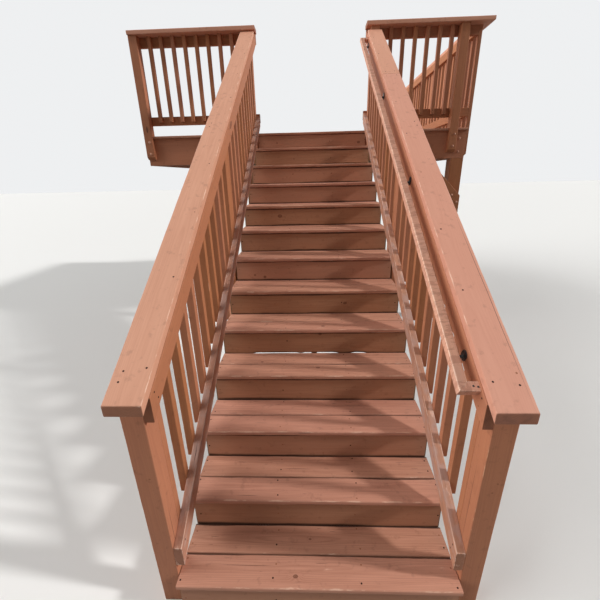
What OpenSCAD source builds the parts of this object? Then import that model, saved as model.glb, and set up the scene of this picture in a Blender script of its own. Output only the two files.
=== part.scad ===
// Timber deck stair. One straight flight with closed risers and a guard on each
// side climbs to a raised deck, guarded along its front and its right side.
// X runs across the flight, Y up the flight and Z up, all in millimetres.
// The origin is on the ground, below the middle of the whole stair and deck.

/* [Flight] */
// Height from one tread to the next
rise = 177; // [160:1:195]
// Distance from one nosing to the next
run = 273; // [250:1:280]
// Length of a tread, across the flight
flight_w = 1232; // [900:1:1500]
// Thickness of a riser board
riser_t = 19; // [16:1:22]
// Width of a riser board
riser_d = 144; // [140:1:148]
// Distance of a riser board's end from the tread's end
riser_set = 10; // [0:1:20]
// Space between a tread's end and the posts beside it
end_gap = 3; // [1:1:8]

/* [Lumber] */
// Thickness of stringers, rails, caps, rims and joists
thick = 38; // [34:1:42]
// Thickness of tread and deck boards
board_t = 25; // [22:1:32]
// Width of tread and deck boards and of rail caps
board = 140; // [132:1:146]
// Space between two boards that lie side by side
board_gap = 5; // [3:1:8]
// Depth of a guard rail, which stands on edge
rail_d = 89; // [80:1:110]
// Side of a guard post
post = 89; // [85:1:100]
// Side of a baluster
baluster = 38; // [32:1:42]
// Radius of the eased long edges
ease = 3; // [1:0.5:4]

/* [Stringers] */
// Width of the plank that a stringer is cut from
stringer_d = 286; // [270:1:320]

/* [Stair guards] */
// Height of the left cap above the line through the nosings
guard_left = 957; // [860:1:1070]
// Height of the right cap above the line through the nosings
guard_right = 931; // [860:1:1070]
// Height of a bottom rail above the line through the nosings
rail_lift = 32; // [15:1:60]
// Distance of a newel's front behind the first nosing
newel_set = 48; // [35:1:70]
// Length of cap in front of the newel
cap_nose = 56; // [30:1:90]
// Overhang of a cap beyond the outer face of the posts
cap_over = 15; // [8:1:30]
// Distance of the right cap's butt joint behind the first nosing
splice = 2310; // [1900:1:2900]

/* [Handrail] */
// Side of the handrail
grip = 38; // [32:1:42]
// Clear space between the handrail and the top rail
grip_gap = 38; // [36:1:50]
// Height of the handrail above the line through the nosings
grip_h = 878; // [840:1:890]
// Thickness of the blocks that return the handrail to the guard
return_t = 25; // [19:1:38]
// Distance of the lower return behind the first nosing
grip_start = 94; // [80:1:160]
// Space between the upper return and the top post's front
grip_short = 16; // [10:1:60]
// Distance of the first bracket from the handrail's lower end
bracket_low = 136; // [80:1:200]
// Distance of the last bracket from the handrail's upper end
bracket_high = 104; // [80:1:200]

/* [Deck] */
// Distance from the middle of the flight to the deck's left edge
deck_left = 1907; // [1500:1:2100]
// Distance from the middle of the flight to the deck's right edge
deck_right = 1735; // [1550:1:2100]
// Number of deck boards from the front edge to the back
deck_boards = 21; // [16:1:26]
// Depth of rims and joists
joist_d = 286; // [235:1:300]
// Number of joists between the side rims
joists = 8; // [6:1:10]

/* [Deck guards] */
// Height of the deck guard's cap above the deck
deck_guard = 990; // [900:1:1070]
// Space between the deck and a bottom rail
deck_lift = 115; // [60:1:125]
// Overhang of a deck cap beyond the outer face of the posts
deck_over = 20; // [8:1:40]
// Distance from one deck baluster to the next
pitch = 125.5; // [115:0.5:135]
// Distance from a post's side to the middle of the baluster next to it
first = 124; // [90:1:130]
// Distance of the front post from the deck's right edge
corner_set = 121; // [100:1:240]
// Length of post below the top of the rim
post_drop = 222; // [180:1:260]
// Depth of the notch that sets a front post over the rim
notch = 38; // [34:1:42]
// Leg of the bevel at the lower end of a hanging post
bevel = 30; // [10:1:45]

/* [Supports] */
// Side of a support post
support = 140; // [120:1:160]
// Distance of the left support posts from the deck's left edge
support_set = 622; // [300:1:800]

/* [Hidden] */

// Stain colours, lit and worn
stain = [0.66, 0.42, 0.31];
stain_worn = [0.60, 0.42, 0.36];
raw = [0.55, 0.40, 0.28];
iron = [0.06, 0.06, 0.06];

// Radii of the other eased edges
baluster_ease = 2;
riser_ease = 1;
board_ease = 5;

// Least space under a riser board, above the tread or the ground below it
riser_clear = 3;
// Height of a baluster's lower end above the lower edge of its rail
baluster_foot = 28;
// Least space between a post and the last baluster of a bay
last_room = 20;
// Overhang of a deck cap beyond the rail's end, at the head of the flight
cap_lip = 8;
// Width of the butt joint in the right cap
joint = 2;
// Height of a side baluster's lower end above the rim's lower edge
rim_foot = 13;
// Flat left at the bevelled lower end of a side baluster
tip = 4;

// The flight
steps = 12;
tread_d = 2 * board + board_gap;
nosing = tread_d - run;
slope = rise / run;
rake = atan(slope);
sec = sqrt(1 + slope * slope);
half = flight_w / 2 + end_gap;
rim_y = steps * run + nosing + riser_t;
deck_z = (steps + 1) * rise;
rim_z = deck_z - board_t;
seat_depth = stringer_d * sec;

// The layers of a stair guard, from the flight outwards
rail_in = half - thick;
post_out = half + post;
cap_out = post_out + cap_over;
cap_in = cap_out - board;
cap_t = thick * sec;
rail_t = rail_d * sec;

// The layers of the front guard, from the flight backwards
post_front = rim_y - (post - notch);
rails_y = rim_y + notch;
cap_front = post_front - deck_over;
cap_z = deck_z + deck_guard - thick;
low_rail_z = deck_z + deck_lift;

// The layers of the side guard, from the deck outwards
side_face = deck_right;
side_out = side_face + post;
side_cap_out = side_out + deck_over;

// Where the stair guards start and end
newel_y = newel_set;
cap_start = newel_set - cap_nose;
mid_y = (newel_y + post_front) / 2;

// The deck's frame
deck_front = steps * run;
deck_back = deck_front + deck_boards * (board + board_gap) - board_gap;
rim_back_y = deck_back - nosing - riser_t;
frame_back = rim_back_y - thick;

// The handrail
grip_in = rail_in - grip_gap - grip;
grip_end = post_front - grip_short;
return_y = return_t / sec;
bracket_step = (grip_end - grip_start - bracket_low - bracket_high) / 3;
bracket_ys = [for (k = [0 : 3]) grip_start + bracket_low + k * bracket_step];

// Posts of the deck guards, and the balusters of the right guard
post_right_x = deck_right - corner_set - post;
side_first = rails_y + baluster / 2;
side_last = rim_back_y - post;
side_count = floor((side_last - baluster / 2 - side_first) / pitch);
side_mid = round(side_count / 2);

// The middle of the whole, on the ground
origin = [(side_cap_out - deck_left) / 2, (cap_start + deck_back) / 2, 0];

tall = deck_z + 2 * deck_guard;

// Height of the line through the nosings at y
function nosing_z(y) = rise + slope * y;

// Face of the stringers' cut behind riser i, and height of its seat for tread i
function cut_y(i) = (i - 1) * run + nosing + riser_t;
function seat_z(i) = i * rise - board_t;

// Height of a stringer's lower edge at y
function lower_z(y) = seat_z(1) + slope * (y - cut_y(1)) - seat_depth;

// A rectangle a by b about the origin, its corners eased by arcs
function eased(a, b, r = ease) = [
    for (c = [[1, 1, 0], [-1, 1, 90], [-1, -1, 180], [1, -1, 270]])
        for (k = [0 : 3])
            [c[0] * (a / 2 - r) + r * cos(c[2] + 30 * k), c[1] * (b / 2 - r) + r * sin(c[2] + 30 * k)]
];

// Puts a piece in the stair's frame, in its colour
module timber(tone = stain) {
    color(tone) translate(-origin) children();
}

// Draws a right-hand piece on the side asked for
module on_side(side) {
    mirror([side < 0 ? 1 : 0, 0, 0]) children();
}

// Eased bars along X, Y and Z
module bar_x(x0, x1, y0, y1, z0, z1, r = ease) {
    translate([x0, (y0 + y1) / 2, (z0 + z1) / 2])
        rotate([90, 0, 90])
            linear_extrude(x1 - x0) polygon(eased(y1 - y0, z1 - z0, r));
}

module bar_y(x0, x1, y0, y1, z0, z1, r = ease) {
    translate([(x0 + x1) / 2, y1, (z0 + z1) / 2])
        rotate([90, 0, 0])
            linear_extrude(y1 - y0) polygon(eased(x1 - x0, z1 - z0, r));
}

module bar_z(x0, x1, y0, y1, z0, z1, r = ease) {
    translate([(x0 + x1) / 2, (y0 + y1) / 2, z0])
        linear_extrude(z1 - z0) polygon(eased(x1 - x0, y1 - y0, r));
}

// A shape drawn in Y and Z, from x0 to x1
module profile(x0, x1) {
    translate([x0, 0, 0]) rotate([90, 0, 90]) linear_extrude(x1 - x0) children();
}

// The space between two heights above the nosing line, from y0 to y1
module raked_band(x0, x1, y0, y1, h0, h1) {
    profile(x0, x1) polygon([
        [y0, nosing_z(y0) + h0], [y1, nosing_z(y1) + h0],
        [y1, nosing_z(y1) + h1], [y0, nosing_z(y0) + h1]
    ]);
}

// An eased bar d deep along the rake, its top h above the nosing line,
// its ends cut plumb at y0 and y1
module raked_bar(x0, x1, y0, y1, h, d, r = ease) {
    intersection() {
        translate([0, y0, nosing_z(y0) + h])
            rotate([rake, 0, 0])
                bar_y(x0, x1, -2 * d, (y1 - y0) * sec + 2 * d, -d, 0, r);
        translate([x0 - 1, y0, 0]) cube([x1 - x0 + 2, y1 - y0, tall]);
    }
}

// Cut stringer: seats and riser cuts above, a level foot and a plumb head
module stringer(x) {
    foot_y = cut_y(1) + (seat_depth - seat_z(1)) / slope;
    profile(x - thick / 2, x + thick / 2) polygon(concat(
        [[cut_y(1), 0]],
        [for (i = [1 : steps]) each [[cut_y(i), seat_z(i)], [cut_y(i + 1), seat_z(i)]]],
        [[rim_y, lower_z(rim_y)], [foot_y, 0]]
    ));
}

module stringer_left() {
    timber(raw) stringer(-half + thick / 2);
}

module stringer_centre() {
    timber(raw) stringer(0);
}

module stringer_right() {
    timber(raw) stringer(half - thick / 2);
}

// Tread i: two boards with a gap between them
module tread(i) {
    timber() for (k = [0, 1]) {
        y = (i - 1) * run + k * (board + board_gap);
        bar_x(-flight_w / 2, flight_w / 2, y, y + board, seat_z(i), i * rise, board_ease);
    }
}

// Riser boards, each tight under the board above it and clear of the one below
module risers() {
    end = flight_w / 2 - riser_set;
    timber() for (i = [1 : steps + 1]) {
        z0 = max(seat_z(i) - riser_d, (i - 1) * rise + riser_clear);
        bar_x(-end, end, cut_y(i) - riser_t, cut_y(i), z0, seat_z(i), riser_ease);
    }
}

// Newel: stands on the ground, its head cut to the rake under the cap
module newel_post(h) {
    intersection() {
        bar_z(half, post_out, newel_y, newel_y + post, 0, tall);
        raked_band(half - 1, post_out + 1, newel_y - 1, newel_y + post + 1, -tall, h - cap_t);
    }
}

module newel_post_left() {
    timber() on_side(-1) newel_post(guard_left);
}

module newel_post_right() {
    timber() on_side(1) newel_post(guard_right);
}

// Middle post: bolted to the stringer's outer face, its lower end bevelled
module mid_post(h) {
    z0 = lower_z(mid_y) - ease;
    difference() {
        intersection() {
            bar_z(half, post_out, mid_y, mid_y + post, z0, tall);
            raked_band(half - 1, post_out + 1, mid_y - 1, mid_y + post + 1, -tall, h - cap_t);
        }
        translate([post_out, mid_y - 1, z0]) rotate([0, 45, 0])
            cube([2 * bevel, post + 2, sqrt(2) * bevel]);
    }
}

module mid_post_left() {
    timber() on_side(-1) mid_post(guard_left);
}

module mid_post_right() {
    timber() on_side(1) mid_post(guard_right);
}

// Front post in side view: notched over the rim, the outer lower corner bevelled.
// u is measured from the rim's outer face, inwards.
module notched_profile() {
    out = post - notch;
    polygon([
        [-out, rim_z - post_drop + bevel], [-out + bevel, rim_z - post_drop],
        [0, rim_z - post_drop], [0, rim_z], [notch, rim_z], [notch, cap_z], [-out, cap_z]
    ]);
}

// A post on the front rim, from x to x + post
module front_post(x) {
    intersection() {
        translate([0, rim_y, 0]) profile(x, x + post) notched_profile();
        bar_z(x, x + post, post_front, rails_y, 0, tall);
    }
}

// A square upright on the outer face of the right rim, from y to y + side,
// its lower end at z0 and bevelled
module side_upright(side, y, z0, leg, r = ease) {
    intersection() {
        translate([side_face, y + side, 0]) rotate([90, 0, 0]) linear_extrude(side)
            polygon([[0, z0], [side - leg, z0], [side, z0 + leg], [side, cap_z], [0, cap_z]]);
        bar_z(side_face, side_face + side, y, y + side, 0, tall, r);
    }
}

module top_post_left() {
    timber() front_post(-post_out);
}

module top_post_right() {
    timber() front_post(half);
}

module deck_post_left() {
    timber() front_post(-deck_left);
}

module deck_post_right() {
    timber() front_post(post_right_x);
}

module side_posts() {
    timber() for (y = [side_first + side_mid * pitch - post / 2, side_last])
        side_upright(post, y, rim_z - post_drop, bevel);
}

// Stair rails: on edge, on the inner faces of the posts, both ends plumb
module top_rail(h) {
    intersection() {
        raked_bar(rail_in, half, newel_y, rails_y, h - cap_t, rail_d);
        translate([rail_in - 1, 0, 0]) cube([thick + 2, rails_y, cap_z]);
    }
}

module top_rail_left() {
    timber() on_side(-1) top_rail(guard_left);
}

module top_rail_right() {
    timber() on_side(1) top_rail(guard_right);
}

module bottom_rail() {
    raked_bar(rail_in, half, newel_y, rails_y, rail_lift + rail_t, rail_d);
}

module bottom_rail_left() {
    timber(stain_worn) on_side(-1) bottom_rail();
}

module bottom_rail_right() {
    timber(stain_worn) on_side(1) bottom_rail();
}

// Caps: flat on the rail and the posts, both ends plumb, kept below the deck cap
module cap(y0, y1, h) {
    difference() {
        raked_bar(cap_in, cap_out, y0, y1, h, thick);
        translate([cap_in - 1, cap_front, cap_z]) cube([board + 2, post, tall]);
    }
}

module cap_left() {
    timber() on_side(-1) cap(cap_start, post_front, guard_left);
}

module cap_right() {
    timber() on_side(1) {
        cap(cap_start, splice - joint / 2, guard_right);
        cap(splice + joint / 2, post_front, guard_right);
    }
}

// Balusters of one bay: the first stands against the lower post and the rest
// follow two to a step, on the outer face of the rails
module stair_bay(y0, y1) {
    step = run / 2;
    for (y = [y0 : step : y1 - baluster - last_room])
        bar_z(half, half + baluster, y, y + baluster, 0, tall, baluster_ease);
}

module stair_balusters(h) {
    intersection() {
        union() {
            stair_bay(newel_y + post, mid_y);
            stair_bay(mid_y + post, post_front);
        }
        raked_band(half - 1, half + baluster + 1, newel_y, rails_y,
            rail_lift + baluster_foot, h - cap_t);
    }
}

module stair_balusters_left() {
    timber() on_side(-1) stair_balusters(guard_left);
}

module stair_balusters_right() {
    timber() on_side(1) stair_balusters(guard_right);
}

// Handrail inside the right guard, and the blocks that return it to the rail
module handrail() {
    timber(stain_worn)
        raked_bar(grip_in, grip_in + grip, grip_start + return_y, grip_end - return_y, grip_h, grip);
}

module handrail_returns() {
    timber(stain_worn) for (y = [grip_start, grip_end - return_y])
        raked_bar(grip_in, rail_in, y, y + return_y, grip_h, grip);
}

// Bracket: a plate on the rail, a bent arm and a saddle under the handrail
module bracket(y) {
    plate = [4, 38, 52];
    saddle = [28, 48, 3];
    rod = 12;
    arm_drop = 14;
    arm_z = -grip - arm_drop;
    middle = -grip_gap - grip / 2;
    translate([rail_in, y, nosing_z(y) + grip_h]) rotate([rake, 0, 0]) {
        translate([-plate[0], -plate[1] / 2, arm_z - plate[2] / 3]) cube(plate);
        translate([middle - saddle[0] / 2, -saddle[1] / 2, -grip - saddle[2]]) cube(saddle);
        translate([middle, 0, arm_z]) {
            sphere(d = rod, $fn = 24);
            cylinder(d = rod, h = arm_drop, $fn = 24);
            rotate([0, 90, 0]) cylinder(d = rod, h = -middle, $fn = 24);
        }
    }
}

module handrail_brackets() {
    timber(iron) for (y = bracket_ys) bracket(y);
}

// Deck frame: the front and back rims run through, the side rims fit between
module rim_front() {
    timber() bar_x(-deck_left, deck_right, rim_y, rim_y + thick, rim_z - joist_d, rim_z);
}

module rim_back() {
    timber() bar_x(-deck_left, deck_right, frame_back, rim_back_y, rim_z - joist_d, rim_z);
}

module rim_left() {
    timber() bar_y(-deck_left, thick - deck_left, rim_y + thick, frame_back, rim_z - joist_d, rim_z);
}

module rim_right() {
    timber() bar_y(deck_right - thick, deck_right, rim_y + thick, frame_back, rim_z - joist_d, rim_z);
}

module joists() {
    bay = (deck_left + deck_right - 2 * thick) / (joists + 1);
    timber(raw) for (k = [1 : joists]) {
        x = thick - deck_left + k * bay;
        bar_y(x - thick / 2, x + thick / 2, rim_y + thick, frame_back, rim_z - joist_d, rim_z);
    }
}

// Clear space around one front post, above the rim
module front_notch(x) {
    translate([x - 1, post_front - 1, rim_z - 1]) cube([post + 2, post + 2, board_t + 2]);
}

// Deck boards: the first one reaches over the rim and the top riser, and is
// notched round the front posts
module decking() {
    timber(stain_worn) difference() {
        for (k = [0 : deck_boards - 1]) {
            y = deck_front + k * (board + board_gap);
            bar_x(-deck_left, deck_right, y, y + board, rim_z, deck_z, board_ease);
        }
        front_notch(-deck_left);
        front_notch(-post_out);
        front_notch(half);
        front_notch(post_right_x);
    }
}

// Support posts under the front and back rims
module support_pair(y) {
    for (x = [support_set - deck_left, deck_right - support])
        bar_z(x, x + support, y, y + support, 0, rim_z - joist_d);
}

module support_posts_front() {
    timber() support_pair(rim_y);
}

module support_posts_back() {
    timber() support_pair(rim_back_y - support);
}

// Rails of the deck guards, on the inner faces of the posts
module front_rails(x0, x1) {
    for (z = [cap_z - rail_d, low_rail_z])
        bar_x(x0, x1, rails_y, rails_y + thick, z, z + rail_d);
}

module deck_rails_left() {
    timber() front_rails(-deck_left, -rail_in);
}

module deck_rails_right() {
    timber() front_rails(rail_in, side_face);
}

module side_rails() {
    timber() for (z = [cap_z - rail_d, low_rail_z])
        bar_y(side_face - thick, side_face, rails_y + thick, rim_back_y, z, z + rail_d);
}

// Deck caps: the two on the right are mitred at the corner
module mitre_side(front) {
    far = 3 * deck_back;
    translate([side_cap_out, cap_front, 0]) rotate([0, 0, front ? 135 : -45])
        translate([-far, 0, 0]) cube([2 * far, far, tall]);
}

module deck_cap_left() {
    timber() bar_x(-deck_left, cap_lip - rail_in, cap_front, cap_front + board, cap_z, cap_z + thick);
}

module deck_cap_right() {
    timber() intersection() {
        bar_x(rail_in - cap_lip, side_cap_out, cap_front, cap_front + board, cap_z, cap_z + thick);
        mitre_side(true);
    }
}

module side_cap() {
    timber() intersection() {
        bar_y(side_cap_out - board, side_cap_out, cap_front, deck_back, cap_z, cap_z + thick);
        mitre_side(false);
    }
}

// Front balusters between the posts, on the outer face of the rails
module front_balusters(side, reach) {
    on_side(side) for (x = [post_out + first : pitch : reach - baluster / 2 - last_room / 2])
        bar_z(x - baluster / 2, x + baluster / 2, rails_y - baluster, rails_y,
            low_rail_z + baluster_foot, cap_z, baluster_ease);
}

module deck_balusters_left() {
    timber() front_balusters(-1, deck_left - post);
}

module deck_balusters_right() {
    timber() front_balusters(1, post_right_x);
}

// Side balusters, which run down over the rim
module side_balusters() {
    timber() for (k = [0 : side_count])
        if (k != side_mid)
            side_upright(baluster, side_first + k * pitch - baluster / 2,
                rim_z - joist_d + rim_foot, baluster - tip, baluster_ease);
}

stringer_left();
stringer_centre();
stringer_right();
tread(1);  // tread_01
tread(2);  // tread_02
tread(3);  // tread_03
tread(4);  // tread_04
tread(5);  // tread_05
tread(6);  // tread_06
tread(7);  // tread_07
tread(8);  // tread_08
tread(9);  // tread_09
tread(10);  // tread_10
tread(11);  // tread_11
tread(12);  // tread_12
risers();
newel_post_left();
newel_post_right();
mid_post_left();
mid_post_right();
top_post_left();
top_post_right();
top_rail_left();
top_rail_right();
bottom_rail_left();
bottom_rail_right();
cap_left();
cap_right();
stair_balusters_left();
stair_balusters_right();
handrail();
handrail_returns();
handrail_brackets();
rim_front();
rim_back();
rim_left();
rim_right();
joists();
decking();
support_posts_front();
support_posts_back();
deck_post_left();
deck_post_right();
side_posts();
deck_rails_left();
deck_rails_right();
side_rails();
deck_cap_left();
deck_cap_right();
side_cap();
deck_balusters_left();
deck_balusters_right();
side_balusters();
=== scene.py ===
# %% [markdown]
# # A timber deck stair, dressed for a photograph
#
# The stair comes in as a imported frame: every board, post and bracket of the CAD
# model, each at its real place. This script keeps that frame and rebuilds what
# is seen around it. Each piece of lumber is made again as a real board is: a
# section with eased edges carried along its length, a little bowed and worn,
# with saw-cut ends. One stain, written once, then colours all of them.

import math

import bpy
import numpy as np
from mathutils import Matrix, Vector


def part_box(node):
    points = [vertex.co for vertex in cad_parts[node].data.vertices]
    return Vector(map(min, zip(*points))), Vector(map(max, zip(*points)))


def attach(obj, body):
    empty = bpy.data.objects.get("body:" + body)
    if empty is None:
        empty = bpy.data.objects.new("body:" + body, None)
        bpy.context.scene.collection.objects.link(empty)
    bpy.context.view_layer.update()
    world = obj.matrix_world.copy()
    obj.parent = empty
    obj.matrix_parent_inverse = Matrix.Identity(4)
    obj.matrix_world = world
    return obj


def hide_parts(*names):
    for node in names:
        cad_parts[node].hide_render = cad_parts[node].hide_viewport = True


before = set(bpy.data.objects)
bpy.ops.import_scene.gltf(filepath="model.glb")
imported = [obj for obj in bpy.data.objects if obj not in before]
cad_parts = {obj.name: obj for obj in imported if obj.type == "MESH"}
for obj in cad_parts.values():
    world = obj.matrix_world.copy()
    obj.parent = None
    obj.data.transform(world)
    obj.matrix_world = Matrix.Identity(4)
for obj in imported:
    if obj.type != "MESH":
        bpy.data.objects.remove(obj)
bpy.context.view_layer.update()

# %% [markdown]
# ## The stair's own measures
#
# A carpenter sets a flight out from a few numbers: rise, run, width and the
# sections of lumber. They are repeated here in millimetres, in the flight's own
# axes: X across with 0 in the middle, Y up the flight with 0 at the first
# nosing, Z up from the ground. Only the last step of making a piece turns them
# into metres about the middle of the whole. The deck lies between LEFT_X and
# EDGE_X and ends at BACK_Y; its right front post starts at RIGHT_X.

# %% Measures
RISE, RUN, WIDTH, STEPS = 177.0, 273.0, 1232.0, 12
THICK, BOARD_T, BOARD, GAP = 38.0, 25.0, 140.0, 5.0
POST, BAL, RAIL_D, RISER_T = 89.0, 38.0, 89.0, 19.0
PLANK_D, SUPPORT, BEVEL = 286.0, 140.0, 30.0
LEFT_X, RIGHT_X, EDGE_X, BACK_Y = -1907.0, 1525.0, 1735.0, 6285.0
NOSING = 2 * BOARD + GAP - RUN
SLOPE = RISE / RUN
SEC = math.hypot(1, SLOPE)
HALF = WIDTH / 2 + 3
POST_OUT = HALF + POST
RIM_Y = STEPS * RUN + NOSING + RISER_T
DECK_Z = (STEPS + 1) * RISE
RIM_Z = DECK_Z - BOARD_T
RIM_LOW = RIM_Z - PLANK_D
ORIGIN = np.array([-31.5, 3154.0, 0.0])
X, Y, Z = np.eye(3)
up_rake = np.array([0, 1, SLOPE]) / SEC
out_of_rake = np.array([0, -SLOPE, 1]) / SEC
print("rake", round(math.degrees(math.atan(SLOPE)), 1), "deck at", DECK_Z)


def nosing_z(y):
    """Height of the line through the nosings: one rise, plus slope times y."""
    return RISE + SLOPE * y


# %% [markdown]
# ## A board
#
# Sawn lumber is planed to a rounded rectangle. The outline below is that
# rectangle: four flats and four quarter circles, listed anticlockwise. Each
# point also knows which way is out of the wood there, so an edge can be worn
# back along it, and how much of an arris it is.

# %% Outline of a board
ARRIS_LINE = 2.5


def outline(w, t, r, flats=(4, 2), turns=3):
    """Points, outward directions and arris share of a rounded rectangle w by t.

    A corner is centre + r (cos a, sin a) for a over a quarter turn; a flat is
    the straight run between two corners, divided evenly, with one more point
    ARRIS_LINE from each corner, so that a worn arris ends in a crisp line.
    """
    points, outward, arris = [], [], []
    centres = np.array([(1, -1), (1, 1), (-1, 1), (-1, -1)]) * (w / 2 - r, t / 2 - r)
    for k, centre in enumerate(centres):
        a = np.radians(90 * (k - 1) + np.linspace(0, 90, turns + 1))
        ring = np.stack([np.cos(a), np.sin(a)], 1)
        corner = centre + r * ring
        flat = centres[(k + 1) % 4] + r * ring[-1] - corner[-1]
        near = ARRIS_LINE / max(math.hypot(*flat), 10)
        even = np.linspace(0, 1, flats[(k + 1) % 2] + 1)[1:-1]
        share = np.unique([*even, near, 1 - near])[:, None]
        points += [corner, corner[-1] + share * flat]
        outward += [ring, np.repeat(ring[-1:], len(share), 0)]
        arris += [np.sin(np.linspace(0, np.pi, turns + 1)) * 0.4 + 0.6, np.zeros(len(share))]
    return np.concatenate(points), np.concatenate(outward), np.concatenate(arris)


section = outline(BOARD, THICK, 3)[0]
print("cap section:", len(section), "points, widest", np.ptp(section, axis=0))


# %% [markdown]
# No board is quite straight. A few slow sine waves of random phase stand for
# its bow and for the unevenness of its edges. The same seed always gives the
# same board.

# %% Slow random waves
rng = np.random.default_rng(2575)


def waves(s, shortest, longest, count=5):
    """Sum of sines of s whose wavelengths go from longest to shortest.

    Each has a random phase and an amplitude in step with its wavelength, and
    the sum is scaled to stay within about one.
    """
    length = np.geomspace(longest, shortest, count)
    phase = rng.uniform(0, 2 * np.pi, count)
    size = (length / longest) ** 0.7
    return (np.sin(2 * np.pi * s[..., None] / length + phase) * size).sum(-1) / size.sum()


# %% [markdown]
# The board itself is a grid. One direction runs round the outline, the other
# along the board between two saw cuts. A cut may lean, as at the foot of a raked
# rail, so each line of the grid has its own start and end. At both ends the
# outline steps in by the width of the eased end, then once more on the cut face,
# and a fan closes it.

# %% Skin over rings
NO_MARK = (-1e5, 0.0, 1.0)


def skin(rings, around):
    """Quads between neighbouring rings, and a fan to a middle point over each end.

    Ring i, point j has number i around + j; the two middle points come last.
    """
    i, j = np.meshgrid(np.arange(rings - 1), np.arange(around), indexing="ij")
    ahead = (j + 1) % around
    near, far = i * around, (i + 1) * around
    quads = np.stack([near + j, near + ahead, far + ahead, far + j], -1)
    j, last, middle = np.arange(around), (rings - 1) * around, np.full(around, rings * around)
    ahead = (j + 1) % around
    fans = np.concatenate([np.stack([middle, ahead, j], 1),
                           np.stack([middle + 1, last + j, last + ahead], 1)])
    return quads.reshape(-1, 4), fans


def closed(rings):
    """The rings' points in one list, then the middles of the first and of the last ring."""
    flat = rings.reshape(-1, *rings.shape[2:])
    return np.concatenate([flat, [rings[0].mean(0), rings[-1].mean(0)]])


def part(rings, **values):
    """A closed skin over rings, with neutral wood values where none are given."""
    quads, fans = skin(*rings.shape[:2])
    plain = dict(wood=np.zeros((rings.shape[0] * rings.shape[1] + 2, 3)), drift=(0, 0, 0),
                 spot=(0, 0, 0), marks=[NO_MARK] * 3, plank=(0, 0, 0), edge=0.0, sawn=0.0)
    return {"place": closed(rings), "quads": quads, "fans": fans, **plain, **values}


# %% A board as a grid
END_ZONE, END_EDGE = 4.0, 0.55
ARRIS_WAVES, BOW_WAVES = (45, 400), (700, 2600, 3)


def board(start, along, across, length, w, t, r=3.0, cuts=((0, 0), (0, 0)), step=90.0,
          flats=(4, 2), bow=0.0, wear=0.35, ease_end=1.0, trim=None, extra=(), heart=None,
          tone=None, hue=None, rub=0.5, knots=(), check=None, face="u", turns=3):
    """Vertices, faces and wood coordinates of one board.

    A vertex is start + s along + u across + v through. u and v come from the
    outline; s goes from the first cut to the second, and each cut is the plane
    s = a u + b v of its pair in cuts. bow bends the board in slow waves; wear
    takes the arrises back by up to that much. trim(s, u, v) may cut the section
    back further. The wood coordinates are (s, u, v) about the tree's heart.
    knots and check are marks given one by one, each (s, across, size) on the faces
    that the axis named by face runs across. The last END_ZONE before a saw cut
    counts as END_EDGE of an arris.
    """
    along, across = np.asarray(along, float), np.asarray(across, float)
    through = np.cross(along, across)
    points, outward, arris = outline(w, t, r, flats, turns)
    near = min(END_ZONE, length / 4)
    ease_end = min(ease_end, near / 2)
    even = np.linspace(0, 1, max(2, int(round(length / step))) + 1)
    share = np.unique(np.concatenate([even, np.asarray(extra) / length,
                                      [near / length, 1 - near / length]]))
    share = np.concatenate([[0, 0], share, [1, 1]])
    shift, inset, within = np.zeros(len(share)), np.zeros(len(share)), np.ones(len(share))
    shift[[2, -3]] = ease_end, -ease_end
    inset[[0, 1, -2, -1]] = ease_end
    within[[0, -1]] = 1 - 5 / min(w, t) if min(w, t) > 12 else 0.6
    u, v = ((points[:, k] - inset[:, None] * outward[:, k]) * within[:, None] for k in (0, 1))
    (a0, b0), (a1, b1) = cuts
    s = ((1 - share)[:, None] * (a0 * u + b0 * v) + share[:, None] * (length + a1 * u + b1 * v)
         + shift[:, None])
    uncut = s
    rough = waves(uncut + 37 * np.arange(len(points)), *ARRIS_WAVES) + 1
    back = wear * arris * rough / 2
    u, v = u - back * outward[:, 0], v - back * outward[:, 1]
    spot = np.stack([s, u, v] if face == "u" else [s, v, u], -1)
    if trim is not None:
        s, u, v = trim(s, u, v)
    bend_u, bend_v = bow * waves(uncut, *BOW_WAVES), bow * 0.6 * waves(uncut, *BOW_WAVES)
    hold = np.sin(np.pi * share)[:, None] ** 0.5
    place = (np.asarray(start, float) + s[..., None] * along
             + (u + bend_u * hold)[..., None] * across + (v + bend_v * hold)[..., None] * through)
    if heart is None:
        beside, below = rng.uniform(-0.35, 0.35), rng.choice([-1, 1]) * rng.uniform(0.9, 2.6)
        heart = (beside * w, below * max(t, 30)) if w >= t else (below * max(w, 30), beside * t)
    wood = np.stack([s, u - heart[0], v - heart[1]], -1)
    edge = np.repeat(arris[None], len(s), 0)
    edge[[0, -1]] = 0
    edge[[1, 2, -3, -2]] = END_EDGE
    sawn = np.zeros(s.shape)
    sawn[[0, 1, -2, -1]] = 1
    luck = rng.normal(0, 1), rng.uniform(0, 1)
    tone, hue = luck[0] if tone is None else tone, luck[1] if hue is None else hue
    marks = (list(knots) + [NO_MARK] * 2)[:2] + [check or NO_MARK]
    return part(place, wood=closed(wood), drift=rng.uniform(0, 30, 3), spot=closed(spot),
                marks=marks, plank=(tone, hue, rub), edge=closed(edge), sawn=closed(sawn))


test = board((0, 0, 0), (0, 1, 0), (1, 0, 0), 1000, BOARD, THICK)
print("one board:", len(test["place"]), "vertices,", len(test["quads"]), "quads")
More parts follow.
